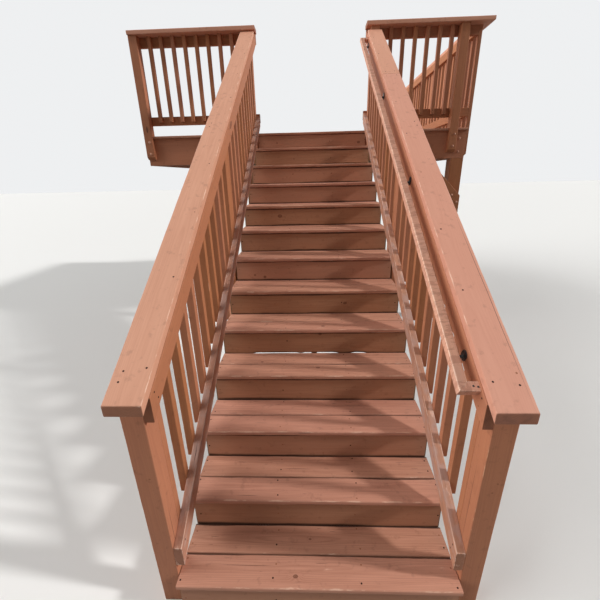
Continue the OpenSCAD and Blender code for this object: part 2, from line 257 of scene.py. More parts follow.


# %% [markdown]
# Boards become one Blender object for each CAD node. The object stays at the
# origin, so the shader can trust its coordinates, and the CAD part it stands for
# is hidden. Attributes go with the mesh: the wood coordinates about the heart,
# the place on the board, the wood coordinates moved to a place of the board's
# own in the noise, the board's tone, hue and rub, its marks, and how much of a
# point is arris or saw cut.

# %% From boards to an object
VECTORS = {"heart": lambda b: b["wood"] / 1000, "spot": lambda b: np.divide(b["spot"], 1000),
           "grain": lambda b: b["wood"] / 1000 + b["drift"], "plank": lambda b: b["plank"],
           "knot_a": lambda b: np.divide(b["marks"][0], 1000),
           "knot_b": lambda b: np.divide(b["marks"][1], 1000),
           "check": lambda b: np.divide(b["marks"][2], 1000)}
SHARES = {"edge": lambda b: b["edge"], "sawn": lambda b: b["sawn"]}
made = {}


def piece(name, boards, node, slot, material):
    """One object from a list of boards: their arrays joined end to end."""
    counts = np.cumsum([0] + [len(b["place"]) for b in boards])
    place = (np.concatenate([b["place"] for b in boards]) - ORIGIN) / 1000
    quads = np.concatenate([b["quads"] + k for b, k in zip(boards, counts)])
    fans = np.concatenate([b["fans"] + k for b, k in zip(boards, counts)])
    corners = np.concatenate([quads.ravel(), fans.ravel()])
    starts = np.concatenate([np.arange(len(quads)) * 4, len(quads) * 4 + np.arange(len(fans)) * 3])
    mesh = bpy.data.meshes.new(name)
    mesh.vertices.add(len(place))
    mesh.vertices.foreach_set("co", place.astype(np.float32).ravel())
    mesh.loops.add(len(corners))
    mesh.loops.foreach_set("vertex_index", corners.astype(np.int32))
    mesh.polygons.add(len(starts))
    mesh.polygons.foreach_set("loop_start", starts.astype(np.int32))
    mesh.update(calc_edges=True)
    for kind, field, width, picks in (("FLOAT_VECTOR", "vector", (3,), VECTORS),
                                      ("FLOAT", "value", (), SHARES)):
        for key, pick in picks.items():
            value = np.concatenate([np.broadcast_to(pick(b), (len(b["place"]), *width))
                                    for b in boards])
            mesh.attributes.new(key, kind, "POINT").data.foreach_set(
                field, value.astype(np.float32).ravel())
    mesh.validate()
    mesh.shade_smooth()
    mesh.set_sharp_from_angle(angle=math.radians(40))
    mesh.materials.append(material)
    thing = bpy.data.objects.new(name, mesh)
    bpy.context.scene.collection.objects.link(thing)
    weighted = thing.modifiers.new("weighted_normals", "WEIGHTED_NORMAL")
    weighted.keep_sharp = True
    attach(thing, "root")
    if node:
        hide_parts(node)
        low, high = (np.array(c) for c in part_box(node))
        off = np.abs(np.concatenate([place.min(0) - low, place.max(0) - high]))
        made[name] = float(off.max() * 1000)


def off_box(*words):
    """Prints how far, in mm, the pieces with a word in their name are from their CAD boxes."""
    print({k: round(v, 2) for k, v in made.items() if any(word in k for word in words)})


# %% [markdown]
# ## The stain
#
# The stair is pine with a red-brown stain that hides most of the grain. What
# still shows is faint: long streaks, the odd knot, short dark checks where the
# wood has opened, and paler wood where feet and hands have rubbed the arrises.
# The shader works in the wood's own coordinates. Rings are the distance from
# the tree's heart, cut into even bands, so the faces get long arches and the
# sawn ends get arcs, as real boards do. A formula in the shader is written as
# one: a wire takes + - * and / as a number does, and adds a node for each.

# %% Shader helpers
def linear(r, g, b):
    """Linear colour of an sRGB colour from 0 to 255: the sRGB curve, undone."""
    c = np.array([r, g, b]) / 255
    return (*np.where(c < 0.04045, c / 12.92, ((c + 0.055) / 1.055) ** 2.4), 1.0)


class Wire:
    """A node's output; arithmetic on it adds a Math node and gives that node's output."""

    def __init__(self, shader, socket):
        self.shader, self.socket = shader, socket

    def __add__(self, other):
        return self.shader.math("ADD", self, other)

    def __radd__(self, other):
        return self.shader.math("ADD", other, self)

    def __sub__(self, other):
        return self.shader.math("SUBTRACT", self, other)

    def __rsub__(self, other):
        return self.shader.math("SUBTRACT", other, self)

    def __mul__(self, other):
        return self.shader.math("MULTIPLY", self, other)

    def __truediv__(self, other):
        return self.shader.math("DIVIDE", self, other)


class Shader:
    """Adds nodes to a material or a world one by one; each call returns a wire."""

    def __init__(self, owner):
        owner.use_nodes = True
        self.owner, self.tree = owner, owner.node_tree

    def node(self, kind, values=(), out=0, **settings):
        """A new node, as the wire of its output out, or a list of wires if out is a tuple."""
        new = self.tree.nodes.new("ShaderNode" + kind)
        for key, value in settings.items():
            setattr(new, key, value)
        self.feed(new, values)
        if isinstance(out, tuple):
            return [Wire(self, new.outputs[k]) for k in out]
        return Wire(self, new.outputs[out])

    def feed(self, node, values):
        """Gives each input of the node its wire or its constant."""
        for key, value in dict(values).items():
            if isinstance(value, Wire):
                self.tree.links.new(value.socket, node.inputs[key])
            else:
                node.inputs[key].default_value = value

    def end(self, name, values):
        """Feeds the node that ends the tree, and returns the material or world."""
        self.feed(self.tree.nodes[name], values)
        return self.owner

    def math(self, operation, a, b=0.0):
        return self.node("Math", {0: a, 1: b}, operation=operation)

    def vector(self, operation, a, b=(0, 0, 0), out=0):
        return self.node("VectorMath", {0: a, 1: b}, out, operation=operation)

    def xyz(self, vector):
        return self.node("SeparateXYZ", {0: vector}, (0, 1, 2))

    def attribute(self, name, out="Vector"):
        return self.node("Attribute", out=out, attribute_name=name)

    def noise(self, vector, scale, detail=2.0, rough=0.5, stretch=None):
        """Noise of the vector, or of the vector times stretch."""
        if stretch:
            vector = self.vector("MULTIPLY", vector, stretch)
        return self.node("TexNoise", {"Vector": vector, "Scale": scale, "Detail": detail,
                                      "Roughness": rough})

    def ramp(self, value, low, high, to_low=0.0, to_high=1.0, smooth=True):
        return self.node("MapRange", {"Value": value, "From Min": low, "From Max": high,
                                      "To Min": to_low, "To Max": to_high},
                         interpolation_type="SMOOTHSTEP" if smooth else "LINEAR")

    def mix(self, factor, a, b):
        """From a to b, each a wire or an sRGB colour from 0 to 255."""
        a, b = (linear(*c) if isinstance(c, tuple) else c for c in (a, b))
        return self.node("Mix", {0: factor, 6: a, 7: b}, 2, data_type="RGBA")

    def straight(self):
        """1 for rays from the camera, off gloss or through glass, and 0 for the rest."""
        camera_ray, glossy, through = self.node("LightPath", out=(
            "Is Camera Ray", "Is Glossy Ray", "Is Transmission Ray"))
        return self.math("MAXIMUM", camera_ray, self.math("MAXIMUM", glossy, through))


# %% Marks that a shader can draw
def knot_mask(sh, spot, which):
    """Distance from a knot given in a list, in knot sizes: the length of (0.7 s, across) over size."""
    mark = sh.attribute(which)
    away = sh.vector("MULTIPLY", sh.vector("SUBTRACT", spot, mark), (0.7, 1, 0))
    return sh.vector("LENGTH", away, out=1) / sh.xyz(mark)[2]


def check_mask(sh, spot, wander):
    """A long drying check: dark where |across + wander| < 0.9 mm times 1 - (s / half length)^2."""
    mark = sh.attribute("check")
    ahead, beside, _ = sh.xyz(sh.vector("SUBTRACT", spot, mark))
    width = (1.0 - sh.math("POWER", ahead / sh.xyz(mark)[2], 2.0)) * 0.0009
    off = sh.math("ABSOLUTE", beside + wander * 0.012)
    return sh.ramp(width - off, -0.0004, 0.0004)


# %% The stained wood
HEART_ASIDE = (0.0, 0.21, 0.06)


def stained(name, body, deep, bare, worn=0.80, arris=0.15, figure=0.12, streaks=0.40, rough=0.62,
            checks=0.3, wild_below=0.80, grey=0.0, end=0.80, scaly=0.0, painted_edge_shade=None, made_here=True):
    """Stained pine: body is the stain, deep where the wood drank more, bare the wood under it.

    worn sets how soon rubbed wood shows, and arris how much sooner on an arris.
    figure is how strongly the rings show and streaks the weather. checks is how
    much of the wood has opened in short dark lines, wild_below how rare wild
    knots are, grey how far the weather has bleached it in blotches, end how dark
    a sawn end is, scaly how far an old coat has cracked across the grain. The
    argument after scaly is (side, half width, reach) of the long edge along which
    a band of painted shade lies, with side 0 for both edges. A CAD piece was not
    made here and has no wood coordinates: its place, turned to the rake, stands in
    for them.
    """
    sh = Shader(bpy.data.materials.new(name))
    edge = sawn = tone = hue = rub = 0.0
    if made_here:
        heart, grain, spot = (sh.attribute(key) for key in ("heart", "grain", "spot"))
        edge, sawn = (sh.attribute(key, "Fac") for key in ("edge", "sawn"))
        tone, hue, rub = sh.xyz(sh.attribute("plank"))
    else:
        place = sh.node("TexCoord", out=3)
        grain = sh.node("CombineXYZ", {k: sh.vector("DOT_PRODUCT", place, tuple(way), out=1)
                                       for k, way in enumerate((up_rake, out_of_rake, X))})
        heart = sh.vector("ADD", grain, HEART_ASIDE)

    cells = sh.vector("MULTIPLY", grain, (1.7, 5.0, 5.0))
    apart, cell = sh.node("TexVoronoi", {"Vector": cells, "Scale": 1.0}, ("Distance", "Color"))
    lucky = sh.node("SeparateColor", {0: cell})
    knot_d = apart / 0.075 + sh.math("LESS_THAN", lucky, wild_below) * 50.0
    if made_here:
        for which in ("knot_a", "knot_b"):
            knot_d = sh.math("MINIMUM", knot_d, knot_mask(sh, spot, which))
    bulge = sh.ramp(knot_d, 0.0, 4.0, 1.0, 0.0)
    knot = sh.ramp(knot_d, 0.75, 1.0, 1.0, 0.0)
    knot_rim = sh.ramp(sh.math("ABSOLUTE", knot_d - 0.95), 0.0, 0.28, 1.0, 0.0)

    sway = sh.noise(grain, 7.0, 2, stretch=(0.22, 1, 1))
    radius = sh.vector("LENGTH", sh.vector("MULTIPLY", heart, (0, 1, 1)), out=1)
    ring_at = sh.math("FRACT", (radius + sway * 0.030 + bulge * 0.012) / 0.0052)
    late = sh.ramp(ring_at, 0.30, 0.85) * sh.ramp(ring_at, 0.88, 1.0, 1.0, 0.0)

    fibre = sh.noise(grain, 620.0, 3, 0.6, (0.035, 1, 1))
    streak = sh.noise(grain, 62.0, 3, 0.6, (0.05, 1, 1))
    cloud = sh.noise(grain, 5.0, 4, 0.55, (0.35, 1, 1))
    grime = sh.noise(grain, 28.0, 4, 0.6)
    scarce = 0.73 - 0.20 * checks
    split = (sh.ramp(sh.noise(grain, 210.0, 1.5, 0.4, (0.045, 1, 1)), 0.71, 0.75)
             * sh.ramp(sh.noise(grain, 9.0, 2, stretch=(0.4, 1, 1)), scarce, scarce + 0.07))
    if made_here:
        split = sh.math("MAXIMUM", split, check_mask(sh, spot, sway - 0.5))

    shade = (tone * 0.07 + (cloud - 0.5) * 0.55 + (streak - 0.5) * streaks
             + (fibre - 0.5) * 0.22 - late * figure)
    colour = sh.mix(sh.ramp(shade, -0.50, 0.50, smooth=False), deep, body)
    colour = sh.mix(hue * 0.25, colour, (208, 144, 128))
    drunk = sh.mix(late * 0.8, (132, 78, 52), (70, 38, 25))
    drunk = sh.mix(sh.ramp(grime, 0.45, 0.65, 0.0, 0.5), drunk, (84, 50, 36))
    colour = sh.mix(sawn * end, colour, drunk)
    wear_at = sh.noise(grain, 34.0, 5, 0.65, (0.25, 1, 1)) + (edge * arris + rub * 0.10)
    rubbed = sh.ramp(wear_at, worn, worn + 0.10)
    colour = sh.mix(rubbed * 0.60, colour, bare)
    colour = sh.mix(sh.ramp(grime, 0.56, 0.72) * 0.20, colour, (92, 58, 44))
    if grey:
        blotch = sh.ramp(sh.noise(grain, 16.0, 5, 0.62, (0.5, 1, 1)), 0.44, 0.62)
        colour = sh.mix(blotch * (1.0 - sawn) * grey, colour, (178, 148, 138))
    if scaly:
        scale_edge = sh.ramp(sh.noise(grain, 90.0, 3, 0.55, (1.0, 0.30, 0.30)), 0.49, 0.57)
        colour = sh.mix(scale_edge * scaly, colour, (176, 118, 98))
    heartwood = sh.mix(sh.ramp(knot_d, 0.0, 0.8), (82, 44, 30), (124, 72, 48))
    colour = sh.mix(knot * 0.65, colour, heartwood)
    colour = sh.mix(knot_rim * 0.75, colour, (70, 38, 26))
    colour = sh.mix(split * 0.85, colour, (44, 24, 18))
    # Painted shade: a dark, ragged band along one long edge or both, for the shade under a nosing, at a
    # riser's foot and in the gaps between boards.
    if painted_edge_shade:
        side, half, reach = painted_edge_shade
        off_middle = sh.xyz(spot)[1]
        off_middle = off_middle * side if side else sh.math("ABSOLUTE", off_middle)
        from_edge = half - off_middle - (cloud - 0.45) * 0.03
        colour = sh.mix(sh.ramp(from_edge, 0.002, reach, 0.88, 0.0), colour, (40, 22, 16))

    height = fibre * 0.35 - late * 0.16 - split * 1.8 - knot_rim * 0.5 + streak * 0.4
    bump = sh.node("Bump", {"Strength": 0.55, "Distance": 0.0012, "Height": height})
    gloss = rubbed * 0.14 + fibre * 0.22 + (rough - 0.10)
    return sh.end("Principled BSDF", {"Base Color": colour, "Roughness": gloss, "Normal": bump,
                                      "Specular IOR Level": 0.25})


stain = stained("red_brown_stain", (194, 128, 86), (145, 89, 57), (212, 162, 130), arris=0.20)
cap_stain = stained("cap_stain_bleached", (222, 166, 138), (196, 138, 110), (248, 212, 188),
                    arris=0.27, streaks=0.55, figure=0.14, checks=0.0, wild_below=2.0, end=0.70)
# Risers and treads get a band of painted shade along their long edges.
riser_stain = stained("riser_stain_with_painted_edge_shade", (188, 138, 104), (142, 98, 70), (198, 150, 120),
                      streaks=0.36, painted_edge_shade=(0, 0.072, 0.011))
tread_stain = stained("tread_stain_walked", (208, 152, 126), (164, 112, 88), (228, 188, 164), worn=0.76,
                      arris=0.19, streaks=1.00, figure=0.24, checks=1.0, painted_edge_shade=(1, 0.070, 0.007))
worn_stain = stained("rail_stain_worn", (208, 150, 120), (144, 102, 82), (234, 196, 176), worn=0.68,
                     arris=0.24, streaks=0.80, rough=0.70, checks=1.0, grey=0.65, end=0.40)
# The grip is pale from wear and painted paler still, as painted light for a rail in the cap's shadow.
grip_wear_and_painted_light = stained("grip_finish_worn_and_painted_light", (246, 192, 162), (212, 156, 130), (255, 220, 194), worn=0.72,
                     arris=0.36, streaks=0.70, rough=0.66, checks=0.6, grey=0.20, end=0.5, scaly=0.45)
raw_look = dict(body=(176, 142, 108), deep=(128, 98, 72), bare=(170, 160, 146),
                worn=0.74, figure=0.40, rough=0.75)
raw_wood = stained("raw_pine", **raw_look)
raw_sawn = stained("raw_pine_sawn", **raw_look, made_here=False)
STAINED = "stained_wood", stain
print("finishes:", [m.name for m in (stain, cap_stain, riser_stain, tread_stain, worn_stain,
                                    grip_wear_and_painted_light, raw_wood, raw_sawn)])

# %% [markdown]
# ## Treads and risers
#
# Each tread is two radius-edge boards laid flat, with a narrow gap that is never
# quite even. The front arris takes every footstep, so it is worn back further
# than the others. A riser board hangs behind it, tight under the nosing. The
# knots and checks that can be told apart have their places here.

# %% Treads
TREAD_KNOTS = {(1, 0): [(520, -20, 7)], (1, 1): [(584, -1, 4)], (4, 0): [(638, 26, 8)],
               (4, 1): [(277, -50, 6)], (5, 0): [(677, -11, 8), (292, 29, 6)], (6, 0): [(531, 27, 8)]}
TREAD_CHECKS = {(1, 0): (300, 22, 120), (2, 0): (272, -39, 55), (2, 1): (520, -20, 80),
                (3, 1): (860, 8, 90), (4, 0): (440, 12, 110)}


def tread(i):
    """Two boards across the flight: front and back, along X at height i rises."""
    boards = []
    for k in (0, 1):
        y = (i - 1) * RUN + k * (BOARD + GAP) + BOARD / 2
        boards.append(board((-WIDTH / 2, y, i * RISE - BOARD_T / 2), X, Y, WIDTH, BOARD, BOARD_T,
                            5.0, step=34, flats=(8, 2), bow=1.2, wear=1.6, rub=0.9 - 0.5 * k,
                            knots=TREAD_KNOTS.get((i, k), ()), check=TREAD_CHECKS.get((i, k))))
    return boards


for i in range(1, STEPS + 1):
    piece("board_pair_%02d" % i, tread(i), "tread_%02d" % i, "stained_wood", tread_stain)
off_box("board_pair")

# %% Risers
RISER_D, RISER_SET, TUCK = 144.0, 10.0, 8.0
SLOT = RISE - BOARD_T - RISER_D
CRACK_X = (-430, -395, -120, -95, -70, 140, 175, 235, 262, 330, 360)
CRACK = (1, -0.25, -0.3, 0.6, -0.3, -0.35, 1, 1, -0.3, -0.25, 1)
RISER_KNOTS = {5: [(646, 60, 7)], 6: [(834, -2, 8)], 7: [(221, -50, 7), (142, -36, 6)],
               9: [(311, 6, 13)], 13: [(1137, -19, 11), (212, -6, 6)]}


def riser_foot(s, u, v, tuck=TUCK):
    """A trim: the riser's lower edge goes down past the slot, to tuck below the tread's top."""
    return s, u - (SLOT + tuck) * np.clip(-2 * u / RISER_D, 0, 1) ** 8, v


def cracked_foot(s, u, v):
    """The same, but short where light shows: TUCK times a line through CRACK at CRACK_X."""
    return riser_foot(s, u, v, TUCK * np.interp(s - WIDTH / 2 + RISER_SET, CRACK_X, CRACK))


boards = []
for i in range(1, STEPS + 2):
    middle_y = (i - 1) * RUN + NOSING + RISER_T / 2
    boards.append(board((RISER_SET - WIDTH / 2, middle_y, i * RISE - BOARD_T - RISER_D / 2), X, Z,
                        WIDTH - 2 * RISER_SET, RISER_D, RISER_T, 1.5, step=30, flats=(6, 2), bow=0.5,
                        wear=0.4, rub=0.0, trim={1: None, 5: cracked_foot}.get(i, riser_foot),
                        knots=RISER_KNOTS.get(i, ())))
piece("riser_boards", boards, "risers", "stained_wood", riser_stain)
off_box("riser")

# %% [markdown]
# ## Posts
#
# The newels stand on the ground with their heads cut to the rake. The middle
# posts hang on the stringers and end in a bevel, so that water drips clear of
# the wood. The posts at the deck are notched over the rim. All are the same
# square section; only a trim takes away what the saw took.

# %% Posts beside the flight
GUARD = {"left": 957.0, "right": 931.0}
SIDES = {"left": -1, "right": 1}
DECK_GUARD, DECK_LOW, LOW_GAP, BAL_UP = 990.0, 115.0, 32.0, 28.0
NOTCH, POST_DROP = POST - THICK, 222.0
CAP_T, RAIL_T = THICK * SEC, RAIL_D * SEC
CAP_Z, LOW_Z, POST_FOOT = DECK_Z + DECK_GUARD - THICK, DECK_Z + DECK_LOW, RIM_Z - POST_DROP
NEWEL_Y, POST_FRONT, RAILS_Y = 48.0, RIM_Y - NOTCH, RIM_Y + THICK
MID_Y = (NEWEL_Y + POST_FRONT) / 2
NEWEL_CHECK = {"left": (420, -14, 130), "right": (595, 5, 210)}
POST_LOOK = dict(step=90, flats=(4, 4), wear=0.7)


def lower_z(y):
    """Height of a stringer's lower edge: its first seat, up the slope, less its depth."""
    return RISE - BOARD_T + SLOPE * (y - NOSING - RISER_T) - PLANK_D * SEC


def upright(x, y, z0, z1, side, lean=(0, 0), **rest):
    """A square post or baluster centred on x, y, from z0 to z1, cut level or to slope lean."""
    return board((x, y, z0), Z, X, z1 - z0, side, side, cuts=((0, lean[0]), (0, lean[1])), **rest)


def bevelled(side, leg, out=1):
    """A trim: the outer face leans in by 45 degrees over the lowest leg of the post."""
    def trim(s, u, v):
        limit = side / 2 - np.clip(leg - s, 0, leg)
        return s, np.minimum(u * out, limit) * out, v
    return trim


for side, sign in SIDES.items():
    x = sign * (HALF + POST / 2)
    y = NEWEL_Y + POST / 2
    piece("newel_" + side,
          [upright(x, y, 0, nosing_z(y) + GUARD[side] - CAP_T, POST, (0, SLOPE), step=70, flats=(4, 4),
                   wear=0.9, heart=(6.0 * sign, -9.0), face="v", check=NEWEL_CHECK[side])],
          "newel_post_" + side, *STAINED)
    y = MID_Y + POST / 2
    piece("middle_post_" + side,
          [upright(x, y, lower_z(MID_Y) - 3, nosing_z(y) + GUARD[side] - CAP_T, POST, (0, SLOPE),
                   trim=bevelled(POST, BEVEL, sign), extra=(BEVEL,), heart=(-12.0, 8.0), **POST_LOOK)],
          "mid_post_" + side, *STAINED)
off_box("newel", "post")


# %% Posts at the deck
def notched(s, u, v):
    """A trim: below the rim's top the back goes, and the lowest BEVEL of the front leans in."""
    v = np.where(s < POST_DROP, np.minimum(v, NOTCH - POST / 2), v)
    return s, u, np.maximum(v, -POST / 2 + np.clip(BEVEL - s, 0, BEVEL))


DECK_POSTS = {"top_post_left": -POST_OUT, "top_post_right": HALF, "deck_post_left": LEFT_X,
              "deck_post_right": RIGHT_X}
for node, x in DECK_POSTS.items():
    piece(node + "_notched",
          [upright(x + POST / 2, POST_FRONT + POST / 2, POST_FOOT, CAP_Z, POST, trim=notched, tone=-1.5,
                   extra=(BEVEL, POST_DROP - 0.01, POST_DROP + 0.01), **POST_LOOK)], node, *STAINED)
PITCH, SIDE_COUNT, SIDE_MID, SIDE_Y0 = 125.5, 22, 11, RAILS_Y + BAL / 2
SIDE_POST_Y = SIDE_Y0 + SIDE_MID * PITCH
piece("side_posts_hung",
      [upright(EDGE_X + POST / 2, y, POST_FOOT, CAP_Z, POST, trim=bevelled(POST, BEVEL),
               extra=(BEVEL,), **POST_LOOK) for y in (SIDE_POST_Y, BACK_Y - POST / 2)],
      "side_posts", *STAINED)
off_box("notched", "side_posts")

# %% [markdown]
# ## Rails and caps of the flight
#
# Rails and caps run up the rake and end in plumb cuts, so the cut face stands
# upright while the board leans. In the board's own axes a plumb cut is a plane
# whose distance along the board grows with height: the slope times u.

# %% Raked boards
RAIL_IN = HALF - THICK
CAP_OUT = POST_OUT + 15
CAP_IN = CAP_OUT - BOARD
CAP_START = NEWEL_Y - 56
CAP_LENGTHS = {"left": [(CAP_START, POST_FRONT, 0.6, 0.0, None)],
               "right": [(CAP_START, 2309, 0.2, 1.6, (520, 56, 480)),
                         (2311, POST_FRONT, 0.0, 0.4, None)]}


def raked(x0, x1, y0, y1, top, depth, ceiling=None, **rest):
    """A board up the rake between plumb cuts at y0 and y1, its top edge top above the nosings.

    Its u axis stands square to the rake, so both cuts are s = slope u. Where a
    ceiling is given, wood above that level is cut away.
    """
    z0 = nosing_z(y0) + top - depth / 2 * SEC

    def trim(s, u, v):
        over = np.maximum(z0 + (s * SLOPE + u) / SEC - ceiling, 0)
        return s, u - over * SEC, v

    return board(((x0 + x1) / 2, y0, z0), up_rake, out_of_rake, (y1 - y0) * SEC, depth, x1 - x0,
                 cuts=((SLOPE, 0), (SLOPE, 0)), trim=trim if ceiling else None, **rest)


def mirrored(side, x0, x1):
    """The same span on the asked side of the flight."""
    return (x0, x1) if side == "right" else (-x1, -x0)


for side in SIDES:
    span = mirrored(side, RAIL_IN, HALF)
    piece("upper_rail_" + side,
          [raked(*span, NEWEL_Y, RAILS_Y, GUARD[side] - CAP_T, RAIL_D, CAP_Z, step=110, bow=0.6,
                 wear=0.6)], "top_rail_" + side, *STAINED)
    piece("lower_rail_" + side,
          [raked(*span, NEWEL_Y, RAILS_Y, LOW_GAP + RAIL_T, RAIL_D, step=110, bow=0.6, wear=0.8,
                 rub=1.0)], "bottom_rail_" + side, "worn_wood", worn_stain)
    piece("sloping_cap_" + side,
          [raked(*mirrored(side, CAP_IN, CAP_OUT), a, b, GUARD[side], THICK, r=4.0, step=60,
                 flats=(2, 8), bow=0.7, wear=1.2, ease_end=2.0, tone=tone, hue=hue, check=check,
                 face="v") for a, b, tone, hue, check in CAP_LENGTHS[side]],
          "cap_" + side, "stained_wood", cap_stain)
off_box("rail", "cap")

# %% [markdown]
# ## Balusters
#
# Square sticks nailed to the outside of the rails, two to a step. They are the
# shape that is repeated most, so each has only a few rings and two faces to a
# side.

# %% Balusters
THIN = dict(step=260, flats=(2, 2), bow=1.2, wear=0.5)
BAY_CLEAR, WING_CLEAR, WING_START, SIDE_LEG, SIDE_UP, TINY = 20, 10, 124, BAL - 4, 13, 1e-6


def bay(y0, y1):
    """Centres of the balusters between two posts: one against the first, then every half run."""
    return np.arange(y0, y1 - BAL - BAY_CLEAR + TINY, RUN / 2) + BAL / 2


def wing(end):
    """Centres across from the flight's post to the post at end, PITCH apart."""
    return np.arange(POST_OUT + WING_START, end - BAL / 2 - WING_CLEAR + TINY, PITCH)


flight_ys = np.concatenate([bay(NEWEL_Y + POST, MID_Y), bay(MID_Y + POST, POST_FRONT)])
FRONT_X = {"left": -wing(-LEFT_X - POST), "right": wing(RIGHT_X)}
side_ys = [SIDE_Y0 + k * PITCH for k in range(SIDE_COUNT + 1) if k != SIDE_MID]
for side, sign in SIDES.items():
    low, high = LOW_GAP + BAL_UP, GUARD[side] - CAP_T
    piece("flight_balusters_" + side,
          [upright(sign * (HALF + BAL / 2), y, nosing_z(y) + low, nosing_z(y) + high, BAL,
                   (SLOPE, SLOPE), **THIN) for y in flight_ys], "stair_balusters_" + side, *STAINED)
for side, xs in FRONT_X.items():
    piece("front_balusters_" + side,
          [upright(x, RAILS_Y - BAL / 2, LOW_Z + BAL_UP, CAP_Z, BAL, **THIN) for x in xs],
          "deck_balusters_" + side, *STAINED)
piece("side_balusters_hung",
      [upright(EDGE_X + BAL / 2, y, RIM_LOW + SIDE_UP, CAP_Z, BAL, trim=bevelled(BAL, SIDE_LEG),
               extra=(SIDE_LEG,), **THIN) for y in side_ys], "side_balusters", *STAINED)
off_box("balusters")

# %% [markdown]
# ## The handrail
#
# A square rail for the hand runs inside the right guard. At both ends it is
# mitred to a short block of the same stick that turns back to the guard, so no
# sleeve can catch on it. In each piece's own axes a mitre is the plane s = v or
# s = -v. It has had the most weather and the most hands, so its stain is pale
# from wear, and its colour is painted paler still: painted light, for a rail
# that the lamps leave in the cap's shadow. The old coat on it has cracked into
# scales.

# %% Handrail and returns
STICK = 38.0
GRIP_IN = RAIL_IN - 2 * STICK
GRIP_START, GRIP_END, GRIP_H = 94.0, POST_FRONT - 16, 878.0
grip_look = dict(flats=(3, 3), wear=1.4, rub=1.0)


def grip_spot(y):
    """Middle of the stick's section where its top meets the plumb plane y."""
    return np.array([GRIP_IN + STICK / 2, y, nosing_z(y) + GRIP_H]) - STICK / 2 * out_of_rake


low_end, high_end = grip_spot(GRIP_START), grip_spot(GRIP_END - STICK * SLOPE / SEC)
reach = float((high_end - low_end) @ up_rake)
piece("grip_rail", [board(low_end + STICK / 2 * up_rake, up_rake, out_of_rake, reach - STICK, STICK,
                          STICK, cuts=((0, 1), (0, -1)), step=60, bow=0.8, **grip_look)],
      "handrail", "worn_wood", grip_wear_and_painted_light)
returns = []
for end, way in ((low_end, 1), (high_end, -1)):
    middle = end + way * STICK / 2 * up_rake
    returns.append(board(middle, X, out_of_rake, RAIL_IN - middle[0], STICK, STICK,
                         cuts=((0, -way), (0, 0)), step=12, **grip_look))
piece("grip_return_blocks", returns, "handrail_returns", "worn_wood", grip_wear_and_painted_light)
off_box("grip")
print("handrail", round(reach), "mm long")

# %% [markdown]
# ## The deck's frame and boards
#
# Two long rims, two short ones and eight joists carry the deck boards. They are
# plain planks on edge. The first deck board is notched round the front posts,
# which the trim does by pushing its front edge back where a post stands.

# %% Frame
SUPPORT_X, JOISTS, DECK_COUNT = (-1215.0, 1665.0), 8, 21
FRAME_FRONT, FRAME_BACK = RIM_Y + THICK, BACK_Y - THICK


def level(x0, x1, y0, y1, z0, z1, run_along, **rest):
    """A level plank on edge or flat, its length along X or Y."""
    mid = ((x0 + x1) / 2, (y0 + y1) / 2, (z0 + z1) / 2)
    if run_along == "x":
        return board((x0, mid[1], mid[2]), X, Y, x1 - x0, y1 - y0, z1 - z0, **rest)
    return board((mid[0], y0, mid[2]), Y, -X, y1 - y0, x1 - x0, z1 - z0, **rest)


frame_planks = {
    "rim_front": (LEFT_X, EDGE_X, RIM_Y, FRAME_FRONT, "x"),
    "rim_back": (LEFT_X, EDGE_X, FRAME_BACK, BACK_Y, "x"),
    "rim_left": (LEFT_X, LEFT_X + THICK, FRAME_FRONT, FRAME_BACK, "y"),
    "rim_right": (EDGE_X - THICK, EDGE_X, FRAME_FRONT, FRAME_BACK, "y"),
}
for node, (x0, x1, y0, y1, way) in frame_planks.items():
    piece(node + "_plank", [level(x0, x1, y0, y1, RIM_LOW, RIM_Z, way, step=150, flats=(2, 5),
                                  bow=0.4, wear=0.6)], node, *STAINED)
bay_x = (EDGE_X - LEFT_X - 2 * THICK) / (JOISTS + 1)
joist_x = [LEFT_X + THICK + k * bay_x for k in range(1, JOISTS + 1)]
piece("joist_planks",
      [level(x - THICK / 2, x + THICK / 2, FRAME_FRONT, FRAME_BACK, RIM_LOW, RIM_Z, "y", step=400,
             flats=(2, 4), bow=0.4, wear=0.6) for x in joist_x], "joists", "raw_wood", raw_wood)
for node, y in (("support_posts_front", RIM_Y + SUPPORT / 2),
                ("support_posts_back", BACK_Y - SUPPORT / 2)):
    piece(node + "_square",
          [upright(x, y, 0, RIM_LOW, SUPPORT, step=140, flats=(5, 5), wear=1.0, heart=(10.0, -14.0))
           for x in SUPPORT_X], node, *STAINED)


# %% Deck boards
def round_posts(s, u, v):
    """A trim: where a front post stands, the first board's front edge moves back to the post."""
    at = s + LEFT_X
    beside = np.zeros(s.shape, bool)
    for x in DECK_POSTS.values():
        beside |= (at > x - 1) & (at < x + POST + 1)
    return s, np.where(beside, np.maximum(u, RAILS_Y + 1 - (STEPS * RUN + BOARD / 2)), u), v


post_sides = np.array([x + d for x in DECK_POSTS.values() for d in (-1, POST + 1)]) - LEFT_X
notch_sides = np.concatenate([post_sides - 0.01, post_sides + 0.01])
notch_sides = notch_sides[notch_sides > 2]
boards = []
for k in range(DECK_COUNT):
    y = STEPS * RUN + k * (BOARD + GAP)
    notch = dict(trim=round_posts, extra=notch_sides) if k == 0 else {}
    boards.append(level(LEFT_X, EDGE_X, y, y + BOARD, RIM_Z, DECK_Z, "x", r=5.0, step=75, flats=(7, 2),
                        bow=1.2, wear=1.1, rub=0.7, **notch))
piece("deck_boards", boards, "decking", "worn_wood", tread_stain)
off_box("plank", "deck_boards", "square")

# %% [markdown]
# ## Rails and caps of the deck
#
# The deck's guard repeats the flight's, level. At the corner the two caps meet
# in a mitre: each ends in a plane at 45 degrees, which is s = u or s = -u.

